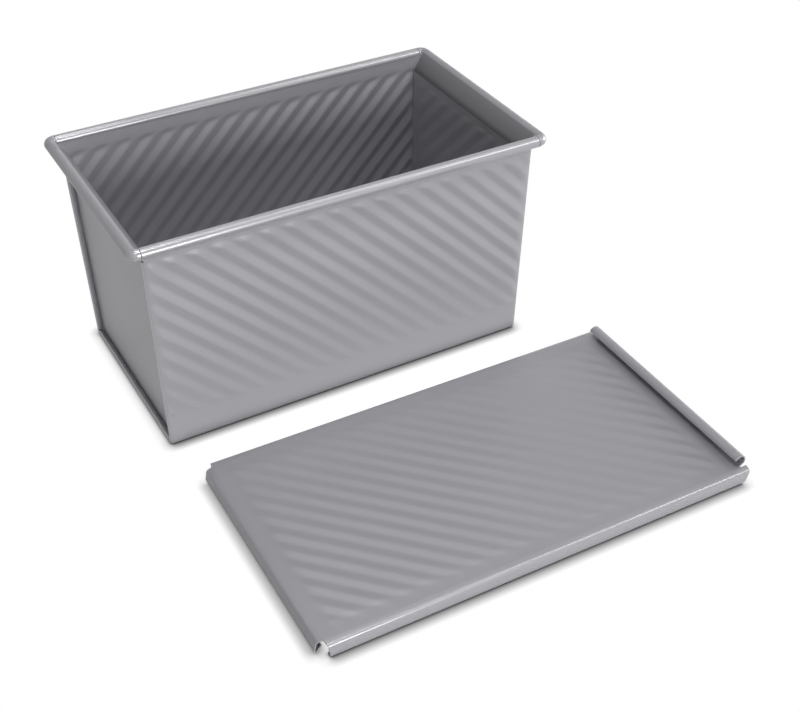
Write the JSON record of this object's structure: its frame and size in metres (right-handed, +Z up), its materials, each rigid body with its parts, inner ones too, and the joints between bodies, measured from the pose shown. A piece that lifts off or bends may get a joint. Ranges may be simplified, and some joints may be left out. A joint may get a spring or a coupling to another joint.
{
  "type": "pullman loaf pan",
  "caption": "Straight-sided sheet-metal loaf pan with diagonal pressed ribs, a rolled wired rim and hemmed ends, and its separate slide-on lid.",
  "frame": {"origin": "centre of the pan's foot, on the surface that the pan and the lid stand on", "axes": "+X along the pan's length, +Y across it and away from the lid, +Z up out of the pan's mouth"},
  "size_m": [0.231, 0.2653, 0.1138],
  "materials": {
    "coated_sheet": "satin grey baked coating over folded steel sheet",
    "wire": "plain drawn steel wire"
  },
  "bodies": {
    "pan": {"pan_body": "coated_sheet", "left_end_panel": "coated_sheet", "right_end_panel": "coated_sheet", "rim_wire": "wire"},
    "lid": {"slide_lid": "coated_sheet"}
  },
  "joints": [
    {"name": "lid_slide", "type": "slide", "parent": "pan", "child": "lid", "axis": [0.9999, -0.0133, 0], "range_m": [0, 0.21]}
  ]
}
